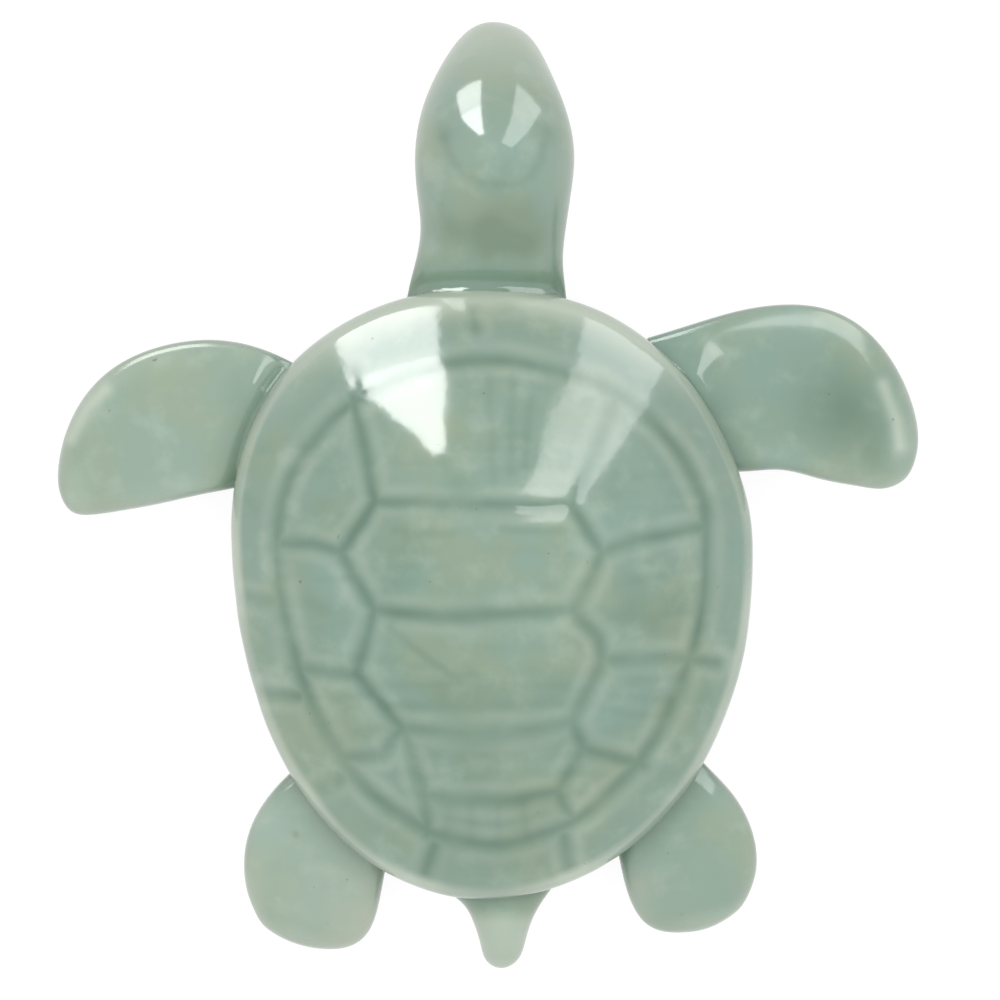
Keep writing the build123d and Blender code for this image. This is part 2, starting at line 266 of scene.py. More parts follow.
# Carapace: the upper half of the body, a low hollow dome that rolls over a rounded lip.
# The scute lines, the ring inside the marginal band and the strokes of the tool were cut
# in the leather-hard clay; the glaze lies deep in them and thin over the lip, and a painted
# reflection makes the front of the lip paler still.
dome_rise = 0.0153
dome_wall = 0.004
rim_height = seam_height + lip_radius
dome_drop = (seat_radius**2 - (dome_rise - lip_radius) ** 2) / (2 * (dome_rise - lip_radius))
dome_radius = dome_rise + dome_drop
dome_centre = rim_height - dome_drop
dome_edge = math.atan2(seat_radius, dome_drop)
ceiling_radius = dome_radius - dome_wall
dome_cells = 290
dome_share = 0.85
groove_depth = 0.00016
groove_reach = 0.00078
shoulder_depth = 0.00010
shoulder_reach = 0.0026
stroke_depth = 0.00004
stroke_reach = 0.00065
swell_height = 0.00024
dimple_height = 0.00007
rim_sway = (
    (0, 0.0056, 0.0), (1, -0.0092, 0.0076), (2, 0.0051, -0.0142),
    (3, 0.0070, -0.0042), (4, -0.0074, -0.0055), (5, 0.0015, -0.0011),
)
ring_sizes = (0.0269, 0.0225, 0.0380)
ring_weight = 0.85
carved_lines = (
    (1.0, (-17.3, 17.6), (-14.5, 5.05), (-18.95, -1.5), (-15.0, -8.7), (-17.05, -16.7),
     (-11.1, -23.4), (-14.0, -26.8)),
    (0.8, (-11.1, -23.4), (-8.6, -31.8), (-8.1, -36.6)),
    (0.6, (15.8, 18.3), (10.0, 4.2)),
    (1.0, (10.0, 4.2), (13.6, -1.5), (10.2, -8.7), (13.5, -12.0), (13.8, -14.9),
     (10.2, -22.6), (11.5, -25.9)),
    (0.7, (11.5, -25.9), (8.2, -31.3), (10.1, -34.7)),
    (0.75, (-14.5, 5.05), (-6.0, 4.4), (3.0, 4.5), (10.0, 4.2)),
    (0.8, (-15.0, -8.7), (-7.0, -9.4), (3.0, -9.1), (10.2, -8.7)),
    (0.7, (-11.1, -23.4), (-4.0, -23.9), (4.0, -23.6), (10.2, -22.6)),
    (0.75, (-8.6, -31.8), (-3.0, -32.4), (3.0, -32.3), (8.2, -31.3)),
    (0.9, (-26.0, -0.1), (-22.4, -0.5), (-18.95, -1.5)),
    (0.5, (-25.0, -15.7), (-17.05, -16.7)),
    (0.7, (-18.6, -27.3), (-14.0, -26.8)),
    (0.8, (26.4, 1.9), (20.0, 0.6), (13.6, -1.5)),
    (0.8, (28.3, -15.3), (20.0, -14.7), (13.8, -14.9)),
    (0.85, (18.9, -28.0), (11.5, -25.9)),
    (0.65, (-2.15, 29.4), (-2.15, 26.0)),
    (0.40, (-17.3, 21.0), (-16.9, 18.6)),
    (0.25, (-31.4, -7.2), (-27.0, -7.5)),
    (1.0, (-29.0, -19.2), (-24.6, -19.4)),
    (0.3, (-21.3, -31.0), (-19.0, -29.7)),
    (0.75, (-8.4, -42.0), (-7.2, -38.2)),
    (0.65, (10.0, -41.0), (9.0, -37.2)),
)
tool_strokes = (
    ((-13.5, 3.0), (-2.0, 2.6), (6.0, 3.1), 0.35),
    ((-12.0, 1.2), (-5.0, 1.0), 0.25),
    ((1.0, 1.5), (11.0, 0.8), 0.25),
    ((-12.8, -10.8), (-4.4, -17.3), 0.45),
    ((-14.5, -17.8), (-2.0, -18.3), (9.0, -17.9), 0.35),
    ((-13.5, -20.3), (-1.0, -20.8), (8.5, -20.2), 0.35),
    ((-9.0, -25.4), (2.0, -25.6), (9.0, -24.9), 0.30),
    ((15.5, -3.2), (24.5, -0.6), 0.35),
    ((15.5, -5.6), (24.8, -3.6), 0.35),
    ((14.5, -9.6), (24.5, -8.8), 0.25),
    ((16.0, -17.0), (23.8, -17.4), 0.35),
    ((15.0, -19.2), (22.5, -19.8), 0.35),
    ((13.8, -21.2), (21.0, -22.0), 0.30),
    ((-24.8, -4.5), (-18.0, -4.9), 0.25),
    ((-24.6, -10.8), (-18.2, -10.4), 0.25),
    ((-22.5, -19.6), (-15.5, -19.4), 0.25),
    ((-5.5, -33.0), (-5.9, -36.5), 0.30),
    ((-2.6, -33.4), (-2.8, -37.0), 0.30),
    ((0.8, -33.4), (0.8, -37.0), 0.30),
    ((4.0, -33.0), (4.4, -36.7), 0.30),
    ((-0.4, 20.5), (0.3, 7.5), 0.35),
    ((2.6, 20.5), (2.4, 8.5), 0.30),
    ((5.2, 19.8), (4.0, 9.5), 0.35),
)
MILLIMETRE = 0.001


def distance_to_line(points, line):
    """Distance in plan from each point to a line of straight runs."""
    nearest = np.full(len(points), 1.0)
    for start, end in zip(line, line[1:]):
        start = np.array(start) * MILLIMETRE
        run = np.array(end) * MILLIMETRE - start
        share = np.clip((points - start) @ run / (run @ run), 0, 1)
        nearest = np.minimum(nearest, np.linalg.norm(points - start - share[:, None] * run, axis=1))
    return nearest


def distance_to_ring(points):
    """Signed distance in plan from the ring inside the marginal band, about true near the ring."""
    half_width, front, rear = ring_sizes
    x = points[:, 0] / half_width
    length = np.where(points[:, 1] > 0, front, rear)
    y = points[:, 1] / length
    size = np.hypot(x, y) + 1e-9
    slope = np.hypot(x / half_width, y / length) / size
    return (size - 1) / np.maximum(slope, 1.0)


def carve(points):
    """Depth of the carving at each point in plan, how much glaze ran into it and off its ridges."""
    plan = points[:, :2].copy()
    plan[:, 0] += 0.00035 * cloudy(points, 160, 3.0)
    plan[:, 1] += 0.00035 * cloudy(points, 160, 7.0)
    pressure = 0.90 + 0.55 * cloudy(points, 90, 11.0) + 0.30 * cloudy(points, 330, 13.0)
    reach = groove_reach * (1 + 0.45 * cloudy(points, 75, 17.0))
    near = np.abs(distance_to_ring(plan))
    cut = ring_weight * np.exp(-((near / reach) ** 2))
    for weight, *line in carved_lines:
        away = distance_to_line(plan, line)
        near = np.minimum(near, away)
        cut = np.maximum(cut, weight * np.exp(-((away / reach) ** 2)))
    shoulder = np.exp(-((near / shoulder_reach) ** 2))
    filled = 1 - 0.75 * ease(-0.006, 0.010, plan[:, 1])
    depth = filled * (pressure * groove_depth * cut + shoulder_depth * shoulder)
    pooled = pressure * (0.66 * cut + 0.14 * shoulder)
    ridge = 0.16 * np.exp(-(((near - 0.0017) / 0.0008) ** 2)) * (1 + cloudy(points, 140, 29.0))
    for *stroke, weight in tool_strokes:
        away = distance_to_line(plan, stroke)
        stroked = weight * pressure * np.exp(-((away / stroke_reach) ** 2))
        depth += stroke_depth * stroked
        pooled += 0.70 * stroked
    brushed = cloudy(points * np.array((0.25, 1.6, 1.0)), 420, 19.0)
    inside = 1 - ease(-0.001, 0.001, distance_to_ring(plan))
    depth += 0.000005 * (1 + brushed) * inside
    pooled += 0.18 * brushed * inside
    depth += swell_height * cloudy(points, 82, 37.0) + dimple_height * cloudy(points, 150, 41.0)
    return depth, pooled, ridge


def model_carapace():
    """A square sheet rounded to a disc, raised into the dome, rolled over the lip and carved."""
    bm = bmesh.new()
    bmesh.ops.create_grid(bm, x_segments=dome_cells, y_segments=dome_cells, size=1.0)
    sheet = np.array([v.co for v in bm.verts])
    sheet /= np.abs(sheet).max()
    across = sheet[:, 0] * np.sqrt(1 - sheet[:, 1] ** 2 / 2)
    along = sheet[:, 1] * np.sqrt(1 - sheet[:, 0] ** 2 / 2)
    share = np.minimum(np.hypot(across, along), 1.0)
    turn = np.arctan2(along, across)
    on_dome = share < dome_share
    lean = np.where(
        on_dome,
        dome_edge * share / dome_share,
        dome_edge + (math.pi - dome_edge) * (share - dome_share) / (1 - dome_share),
    )
    radius = np.where(on_dome, dome_radius * np.sin(lean), seat_radius + lip_radius * np.sin(lean))
    height = np.where(
        on_dome, dome_centre + dome_radius * np.cos(lean), rim_height + lip_radius * np.cos(lean)
    )
    drawn = stretch_of(along)
    sway = sum(c * np.cos(k * turn) + s * np.sin(k * turn) for k, c, s in rim_sway)
    plan_radius = radius * (1 + sway * ease(0.55, 0.95, share))
    points = np.stack(
        (plan_radius * np.cos(turn), plan_radius * np.sin(turn) * drawn, height), axis=1
    )
    outward = np.stack(
        (np.sin(lean) * np.cos(turn), np.sin(lean) * np.sin(turn) / drawn, np.cos(lean)), axis=1
    )
    outward /= np.linalg.norm(outward, axis=1)[:, None]
    depth, pooled, ridge = carve(points)
    upper = 1 - ease(math.radians(75), math.radians(105), lean)
    points -= outward * (depth * upper)[:, None]
    layers = [bm.verts.layers.float.new(name) for name in ("pooled", "ridge", "lean")]
    for vert, point, *values in zip(bm.verts, points, pooled * upper, ridge * upper, lean):
        vert.co = point
        for layer, value in zip(layers, values):
            vert[layer] = value
    return bm


def hollow_out(bm):
    """Carries the edge of the lip inward and up the ceiling, and closes it at the crown."""
    ceiling = [(mouth_radius, seam_height)]
    for share in (1.0, 0.75, 0.5, 0.25):
        radius = mouth_radius * share
        ceiling.append((radius, dome_centre + math.sqrt(ceiling_radius**2 - radius**2)))
    edges = [edge for edge in bm.edges if edge.is_boundary]
    for radius, height in ceiling:
        grown = bmesh.ops.extrude_edge_only(bm, edges=edges)["geom"]
        edges = [g for g in grown if isinstance(g, bmesh.types.BMEdge) and g.is_boundary]
        for vert in {vert for edge in edges for vert in edge.verts}:
            here = math.hypot(vert.co.x, vert.co.y / float(stretch_of(vert.co.y)))
            vert.co.x *= radius / here
            vert.co.y *= radius / here
            vert.co.z = height
    last = list({vert for edge in edges for vert in edge.verts})
    bmesh.ops.pointmerge(bm, verts=last, merge_co=(0, 0, dome_centre + ceiling_radius))


shell_clay = model_carapace()
hollow_out(shell_clay)
carapace = fire(shell_clay, "carapace")


def read_mark(mesh, name):
    """One of the numbers kept per vertex."""
    values = np.zeros(len(mesh.vertices))
    mesh.attributes[name].data.foreach_get("value", values)
    return values


shell_points = read_points(carapace.data)
lean_of = read_mark(carapace.data, "lean")
# Painted shade on the underside of the lip, which faces the table; it is added to the darker
# patches of deep glaze below.
painted_shade_under_lip = ease(math.radians(105), math.radians(150), lean_of)
# Paler over the rolled lip where the glaze runs thin; towards the front this pale is widened and
# raised as a painted reflection of the bright room.
ahead = ease(0.012, 0.026, shell_points[:, 1])
thin_lip_and_reflection = (1 - ahead) * ease(math.radians(38.5), math.radians(60), lean_of)
thin_lip_and_reflection += ahead * ease(math.radians(35.5), math.radians(45), lean_of)
thin_lip_and_reflection *= 1 - ease(math.radians(95), math.radians(130), lean_of)
painted_front_lip_reflection = ease(0.0260, 0.0300, shell_points[:, 1])
thin_lip_and_reflection *= 0.70 + 0.45 * cloudy(shell_points, 90, 5.0) + 0.20 * ahead + 0.60 * painted_front_lip_reflection
mark(carapace.data, "thin_and_sheen", thin_lip_and_reflection + read_mark(carapace.data, "ridge"))


def spots(points, places):
    """Soft round patches of a tint: x, y and reach in millimetres, then strength."""
    amount = np.zeros(len(points))
    for x, y, reach, strength in places:
        away = np.hypot(points[:, 0] - x * MILLIMETRE, points[:, 1] - y * MILLIMETRE)
        amount += strength * np.exp(-((away / (reach * MILLIMETRE)) ** 2))
    return amount * (0.8 + 0.6 * cloudy(points, 260, 23.0))


olive_places = (
    (18.7, -8.3, 4.5, 0.40), (11.4, -11.1, 2.2, 0.55), (-12.0, 0.0, 4.0, 0.15),
    (-4.0, -22.0, 9.0, 0.15), (0.0, -35.0, 8.0, 0.20), (-17.3, 20.0, 1.6, 0.75),
    (-21.0, 5.0, 5.0, 0.12), (0.0, -33.0, 20.0, 0.32), (0.0, -12.0, 14.0, 0.06),
)
deep_places = (
    (-12.3, -4.8, 4.0, 0.25), (-21.5, -8.8, 3.5, 0.22), (22.0, 9.0, 4.0, 0.15),
    (28.0, -11.0, 4.0, 0.18), (25.5, -22.0, 4.5, 0.18),
)
deep_glaze_and_lip_shade = spots(shell_points, deep_places) + 0.7 * painted_shade_under_lip
mark(carapace.data, "pool_and_shade", read_mark(carapace.data, "pooled") + deep_glaze_and_lip_shade)
mark(carapace.data, "olive", spots(shell_points, olive_places))

# Head and neck: one solid lump, pinched narrower behind the crown and luted under the lip.
# An arc pressed into the crown and a thumb print at each end of it are all of its face;
# the glaze has run down the neck and pooled there.
limb_sides = 128
limb_rings = 150
cap_share = 0.05
shell_count = len(carapace.data.vertices)
body_tree = BVHTree.FromPolygons(
    [*map(Vector, read_points(carapace.data)), *map(Vector, read_points(plastron.data))],
    [
        *(tuple(p.vertices) for p in carapace.data.polygons),
        *(tuple(v + shell_count for v in p.vertices) for p in plastron.data.polygons),
    ],
)


def rim_point(angle):
    """A point on the egg of the rim, in plan."""
    length = shell_front if math.sin(angle) > 0 else shell_rear
    return shell_half_width * math.cos(angle), length * math.sin(angle)


def flowing(stations, values, wanted):
    """Values at the wanted stations on a natural cubic through the given ones."""
    step = np.diff(stations)
    size = len(stations)
    matrix = np.eye(size)
    bend = np.zeros(size)
    rise = np.diff(values) / step
    for row in range(1, size - 1):
        matrix[row, row - 1 : row + 2] = step[row - 1], 2 * (step[row - 1] + step[row]), step[row]
        bend[row] = 6 * (rise[row] - rise[row - 1])
    bend = np.linalg.solve(matrix, bend)
    run = np.clip(np.searchsorted(stations, wanted) - 1, 0, size - 2)
    left = wanted - stations[run]
    right = stations[run + 1] - wanted
    width = step[run]
    return (
        (bend[run] * right**3 + bend[run + 1] * left**3) / (6 * width)
        + (values[run] / width - bend[run] * width / 6) * right
        + (values[run + 1] / width - bend[run + 1] * width / 6) * left
    )


def model_limb(angle, heading, length, half_width, half_depth, height, rise, sections, squareness):
    """A ball drawn out along its heading through oval sections; its root runs on into the body."""
    bm = bmesh.new()
    bmesh.ops.create_uvsphere(bm, u_segments=limb_sides, v_segments=limb_rings, radius=1.0)
    ball = np.array([v.co for v in bm.verts])
    turn = np.arctan2(ball[:, 1], ball[:, 0])
    way = np.arccos(np.clip(-ball[:, 2], -1, 1)) / math.pi
    table = np.array(sections[::-1])
    first = sections[0][0]
    onward = np.clip((way - cap_share) / (1 - cap_share), 0, 1)
    station = first + (1 - first) * np.sin(onward * math.pi / 2)
    swell = np.clip(way / cap_share, 0, 1)
    along = np.sqrt(np.clip(1 - station, 0, None))
    knots = np.sqrt(1 - table[:, 0])
    side, lift, wide, deep = (flowing(knots, table[:, k], along) for k in range(1, 5))
    power = 2 + (squareness - 2) * (1 - ease(0.35, 0.97, station))
    reach = (np.abs(np.cos(turn)) ** power + np.abs(np.sin(turn)) ** power) ** (-1 / power)
    across = np.cos(turn) * reach
    upward = np.sin(turn) * reach
    left = half_width * (side + wide * across * swell)
    up = height + rise * lift + half_depth * deep * upward * swell
    out = station * length
    x, y = rim_point(math.radians(angle))
    ahead = math.radians(heading)
    points = np.stack(
        (
            x + out * math.cos(ahead) - left * math.sin(ahead),
            y + out * math.sin(ahead) + left * math.cos(ahead),
            up,
        ),
        axis=1,
    )
    layers = [bm.verts.layers.float.new(name) for name in ("station", "across")]
    for vert, point, *values in zip(bm.verts, points, station, across):
        vert.co = point
        for layer, value in zip(layers, values):
            vert[layer] = value
    return bm


def body_near(points):
    """Signed distance to the body, less than zero inside it, and the body's normal there."""
    gaps = []
    normals = []
    for point in points:
        place, normal, _, away = body_tree.find_nearest(Vector(point))
        gaps.append(math.copysign(away, (Vector(point) - place).dot(normal)))
        normals.append(normal)
    return np.array(gaps), np.array(normals)


def outward_of(mesh):
    """The vertex normals as an array of rows."""
    normals = np.zeros(len(mesh.vertices) * 3, np.float32)
    mesh.vertex_normals.foreach_get("vector", normals)
    return normals.reshape(-1, 3)


def lute(piece, fillet, moat, seam, thin_and_sheen, press=None):
    """Presses details into a limb, works its root into the body and marks how the glaze lies on it.

    The moat is the depth and reach of the valley that the tool left along the seam, and the seam
    the strength and reach of the darkening along it: pooled glaze, and painted shade where the limb
    meets the body.
    """
    mesh = piece.data
    points = read_points(mesh)
    outward = outward_of(mesh)
    station = read_mark(mesh, "station")
    across = read_mark(mesh, "across")
    gap, body_outward = body_near(points)
    outside = np.clip(gap, 0, None)
    above = ease(0.1, 0.6, outward[:, 2])

    def laid(amount):
        if callable(amount):
            return amount(points, outward, station)
        return np.full(len(points), amount)

    sunk = moat[0] * above * np.exp(-((outside / moat[1]) ** 2))
    # Painted shade along the seam, laid in together with the glaze that pooled there.
    pool_and_shade = laid(seam[0]) * np.exp(-((outside / seam[1]) ** 2))
    if press:
        pressed, filled = press(points, outward, station, across)
        sunk += pressed
        pool_and_shade += filled
    reach = laid(fillet)
    flare = (np.sqrt(reach) - np.sqrt(np.minimum(outside, reach))) ** 2
    close = np.clip(1 - outside / reach, 0, 1) * np.sum(outward * body_outward, axis=1)
    slide = outward - body_outward * close[:, None]
    points += slide * flare[:, None] - outward * sunk[:, None]
    write_points(mesh, points)
    rim = np.abs(across) ** 5 * ease(0.0025, 0.006, gap)
    edge = rim * (0.35 + 0.30 * ease(0.35, 0.75, station))
    tip = ease(0.80, 1.0, station)
    mark(mesh, "pool_and_shade", pool_and_shade)
    mark(mesh, "dull", np.abs(across) ** 4 + 0.5 * tip)
    mark(mesh, "thin_and_sheen", laid(thin_and_sheen) + (edge + 0.40 * tip) * (0.8 + 0.5 * cloudy(points, 120, 9.0)))
    return points


head_sections = (
    (-0.265, 0.050, -0.060, 0.920, 0.610),
    (-0.090, 0.070, 0.040, 1.020, 0.660),
    (0.100, 0.036, 0.430, 0.935, 0.705),
    (0.210, -0.010, 0.610, 0.918, 0.810),
    (0.340, -0.025, 0.840, 0.968, 0.930),
    (0.480, -0.033, 1.000, 1.007, 1.000),
    (0.647, -0.025, 0.830, 0.925, 0.947),
    (0.794, -0.025, 0.400, 0.735, 0.770),
    (0.897, -0.040, -0.040, 0.548, 0.565),
    (0.965, -0.040, -0.380, 0.346, 0.360),
    (0.991, -0.025, -0.530, 0.180, 0.190),
    (1.000, -0.015, -0.570, 0.000, 0.000),
)
crown_arc = (
    (-6.2, 50.3), (-5.0, 47.3), (-3.6, 45.5), (-1.5, 44.5), (0.9, 44.2),
    (3.3, 44.5), (4.9, 45.5), (6.2, 47.3), (6.5, 49.4),
)
arc_depth = 0.00012
arc_reach = 0.0007
eye_places = ((-6.1, 50.9), (7.0, 50.8))
print_depth = 0.00014
print_reach = 0.0013


def press_face(points, outward, station, across):
    """The arc on the crown and the two thumb prints beside it."""
    plan = points[:, :2]
    above = ease(0.0, 0.35, outward[:, 2])
    arc = np.exp(-((distance_to_line(plan, crown_arc) / arc_reach) ** 2)) * above
    prints = np.zeros(len(points))
    for x, y in eye_places:
        away = np.hypot(plan[:, 0] - x * MILLIMETRE, plan[:, 1] - y * MILLIMETRE)
        prints += np.exp(-((away / print_reach) ** 2)) * above
    return arc_depth * arc + print_depth * prints, 0.34 * arc + 0.40 * prints


def snout_thin_and_lit(points, outward, station):
    """Paler towards the snout: thinner glaze there, with painted light and reflection on the
    forward-falling snout.
    """
    return 0.08 + 0.42 * ease(0.62, 0.92, station)


head = fire(
    model_limb(
        angle=90, heading=90, length=0.034, half_width=0.00995, half_depth=0.0085,
        height=0.0108, rise=0.0049, sections=head_sections, squareness=2.0,
    ),
    "head",
)
head_points = lute(
    head, fillet=0.0016, moat=(0.0009, 0.0020), seam=(0.65, 0.0030),
    thin_and_sheen=snout_thin_and_lit, press=press_face,
)
neck_places = (
    (2.5, 38.8, 4.4, 0.80), (-1.5, 37.6, 3.4, 0.75), (-6.0, 38.6, 3.0, 0.42),
    (6.2, 36.5, 3.0, 0.42), (0.5, 38.0, 7.0, 0.20),
)
upper_side = ease(0.0, 0.5, outward_of(head.data)[:, 2])
mark(head.data, "olive", spots(head_points, neck_places) * upper_side)

# Front flippers: two flat paddles, each bent its own way by hand, luted under the lip.
# The left one reaches back with a plump blade; the right one is broader, dished on top
# and smoothed into the shell along its leading edge.
front_left_sections = (
    (-0.370, 0.300, 0.000, 0.500, 0.900),
    (-0.190, 0.013, 0.000, 0.797, 1.000),
    (0.000, -0.237, -0.120, 0.948, 1.000),
    (0.190, -0.373, -0.450, 1.012, 0.980),
    (0.370, -0.449, -0.680, 1.003, 0.945),
    (0.560, -0.460, -0.720, 0.937, 0.920),
    (0.740, -0.390, -0.680, 0.778, 0.865),
    (0.890, -0.239, -0.580, 0.533, 0.725),
    (0.963, -0.122, -0.520, 0.326, 0.515),
    (0.990, -0.080, -0.500, 0.180, 0.300),
    (1.000, -0.070, -0.500, 0.000, 0.000),
)
front_right_sections = (
    (-0.375, 0.120, 0.000, 0.500, 0.900),
    (-0.190, 0.066, 0.000, 0.826, 1.000),
    (0.000, 0.205, -0.120, 0.960, 1.000),
    (0.190, 0.343, -0.450, 1.022, 0.980),
    (0.375, 0.455, -0.680, 1.000, 0.945),
    (0.560, 0.429, -0.720, 0.963, 0.920),
    (0.750, 0.298, -0.680, 0.817, 0.865),
    (0.880, 0.141, -0.580, 0.620, 0.745),
    (0.948, 0.053, -0.520, 0.431, 0.590),
    (0.985, 0.005, -0.500, 0.250, 0.350),
    (1.000, -0.010, -0.500, 0.000, 0.000),
)
knuckle_height = 0.0012
knuckle_reach = 0.0028
left_knuckle = ((-30.1, 18.8), (-29.9, 18.4))
right_knuckle = ((25.6, 20.5), (27.1, 18.3))
dish_depth = 0.0007


def knuckle(points, line, above):
    """A swelling of the clay beside the seam."""
    return np.exp(-((distance_to_line(points[:, :2], line) / knuckle_reach) ** 2)) * above


def press_left(points, outward, station, across):
    """The knuckle at the root of the left flipper."""
    return -knuckle_height * knuckle(points, left_knuckle, ease(0.2, 0.7, outward[:, 2])), 0.0


def press_right(points, outward, station, across):
    """The knuckle at the root of the right flipper, and the hollow of a thumb near its tip."""
    above = ease(0.2, 0.7, outward[:, 2])
    dish = np.exp(-(((station - 0.62) / 0.21) ** 2) - ((across + 0.12) / 0.55) ** 2) * above
    pressed = dish_depth * dish - knuckle_height * knuckle(points, right_knuckle, above)
    return pressed, 0.80 * dish + 0.08 * above


def seam_pool_and_shade(points, outward, station):
    """Pooled glaze and painted shade along most of the seam, fading out near the leading edge."""
    return 0.52 - 0.42 * ease(0.0175, 0.0225, points[:, 1])


# Lines along the flipper tips where painted highlights are laid in the pale colour.
left_tip_highlight = ((-53.2, 12.8), (-51.2, 16.6), (-48.8, 19.0))
right_tip_highlight = ((49.4, 19.6), (51.1, 15.0), (51.5, 12.0))
highlight_reach = 0.0009


def painted_edge_highlight(points, outward, line):
    """A painted highlight: a pale streak along the rim of a blade's tip."""
    near = np.exp(-((distance_to_line(points[:, :2], line) / highlight_reach) ** 2))
    return 0.60 * near * ease(0.2, 0.6, outward[:, 2])


def thin_glaze_and_highlight_left(points, outward, station):
    """The left blade is thinly glazed all over, with a painted highlight along its tip."""
    return 0.14 + painted_edge_highlight(points, outward, left_tip_highlight)


def painted_highlight_right(points, outward, station):
    """The right blade is well glazed, with a painted highlight along its tip."""
    return painted_edge_highlight(points, outward, right_tip_highlight)


front_flipper_left = fire(
    model_limb(
        angle=153.0, heading=-159.2, length=0.0270, half_width=0.0097, half_depth=0.0047,
        height=0.0094, rise=0.0014, sections=front_left_sections, squareness=6.5,
    ),
    "front_flipper_left",
)
lute(
    front_flipper_left, fillet=0.0004, moat=(0.0009, 0.0018), seam=(seam_pool_and_shade, 0.0034),
    thin_and_sheen=thin_glaze_and_highlight_left, press=press_left,
)
front_flipper_right = fire(
    model_limb(
        angle=32.0, heading=-13.2, length=0.02675, half_width=0.0106, half_depth=0.0047,
        height=0.0094, rise=0.0014, sections=front_right_sections, squareness=6.5,
    ),
    "front_flipper_right",
)
lute(
    front_flipper_right, fillet=0.00002, moat=(0.0, 0.0020), seam=(seam_pool_and_shade, 0.0022),
    thin_and_sheen=painted_highlight_right, press=press_right,
)

# Hind flippers: two small rounded paddles, rolled and flattened, luted under the rear of
# the lip. Bare clay shows warm through the thin glaze low on their inner sides.
hind_left_sections = (
    (-0.580, 0.000, 0.000, 0.530, 0.900),
    (-0.320, -0.040, 0.000, 0.790, 1.000),
    (0.000, -0.125, -0.120, 0.961, 1.000),
    (0.256, -0.140, -0.500, 1.016, 0.970),
    (0.510, -0.084, -0.850, 1.004, 0.920),
    (0.705, -0.016, -1.000, 0.923, 0.840),
    (0.853, 0.019, -1.000, 0.758, 0.700),
    (0.942, 0.000, -1.000, 0.541, 0.520),
    (0.984, -0.010, -1.000, 0.290, 0.310),
    (1.000, -0.020, -1.000, 0.000, 0.000),
)
hind_right_sections = (
    (-0.550, 0.000, 0.000, 0.560, 0.900),
    (-0.280, 0.020, 0.000, 0.760, 1.000),
    (0.000, 0.115, -0.120, 0.935, 1.000),
    (0.249, 0.161, -0.500, 1.022, 0.970),
    (0.495, 0.145, -0.850, 1.038, 0.920),
    (0.685, 0.104, -1.000, 0.968, 0.840),
    (0.834, 0.064, -1.000, 0.809, 0.700),
    (0.933, 0.071, -1.000, 0.570, 0.550),
    (0.980, 0.080, -1.000, 0.300, 0.320),
    (1.000, 0.080, -1.000, 0.000, 0.000),
)
hind_flipper_left = fire(
    model_limb(
        angle=-127.5, heading=-106.9, length=0.0157, half_width=0.00885, half_depth=0.0046,
        height=0.0090, rise=0.0014, sections=hind_left_sections, squareness=4.2,
    ),
    "hind_flipper_left",
)
hind_left_points = lute(
    hind_flipper_left, fillet=0.0004, moat=(0.0005, 0.0026),
    seam=(0.60, 0.0030), thin_and_sheen=0.26,
)
left_warmth = ((-15.5, -46.0, 4.5, 0.6), (-20.0, -51.0, 5.0, 0.4))
mark(hind_flipper_left.data, "warm", spots(hind_left_points, left_warmth))
left_olive = ((-24.8, -37.1, 0.45, 1.2), (-22.5, -43.0, 9.0, 0.10))
mark(hind_flipper_left.data, "olive", spots(hind_left_points, left_olive))
hind_flipper_right = fire(
    model_limb(
        angle=-48.3, heading=-73.2, length=0.01605, half_width=0.0083, half_depth=0.0046,
        height=0.0090, rise=0.0014, sections=hind_right_sections, squareness=4.2,
    ),
    "hind_flipper_right",
)
hind_right_points = lute(
    hind_flipper_right, fillet=0.0004, moat=(0.0005, 0.0026),
    seam=(0.60, 0.0030), thin_and_sheen=0.08,
)
right_warmth = ((18.5, -43.0, 3.5, 0.35), (24.0, -48.5, 4.0, 0.2))
mark(hind_flipper_right.data, "warm", spots(hind_right_points, right_warmth))
right_olive = ((24.5, -42.0, 8.0, 0.14),)
mark(hind_flipper_right.data, "olive", spots(hind_right_points, right_olive))

# Tail: a short pointed cone of solid clay, flared where it was smoothed against the rear of
# the lip. The glaze lies deep in its root, with painted shade there too, and thin over the rest of
# it.
tail_sections = (
    (-0.350, -0.150, 0.000, 1.500, 1.000),
    (-0.130, -0.110, -0.040, 1.190, 1.000),
    (0.000, -0.060, -0.100, 0.990, 0.980),
    (0.250, -0.035, -0.280, 0.742, 0.880),
    (0.620, -0.031, -0.620, 0.546, 0.680),
    (0.870, -0.050, -0.860, 0.395, 0.470),
    (0.965, -0.060, -0.960, 0.215, 0.270),
    (1.000, -0.060, -1.000, 0.000, 0.000),
)
tail = fire(
    model_limb(
        angle=-87.4, heading=-90, length=0.0086, half_width=0.0052, half_depth=0.0042,
        height=0.0100, rise=0.0030, sections=tail_sections, squareness=2.2,
    ),
    "tail",
)


def tail_fillet(points, outward, station):
    """Slip wiped up both sides of the tail, less on top."""
    return 0.0006 + 0.0010 * ease(0.3, 0.8, np.abs(outward[:, 0]))


def thin_tail(points, outward, station):
    """The glaze lies deep in the root of the tail and thin over the rest of it."""
    return 0.05 + 0.60 * ease(0.04, 0.34, station)


lute(
    tail, fillet=tail_fillet, moat=(0.0003, 0.0008),
    seam=(0.55, 0.0018), thin_and_sheen=thin_tail,
)

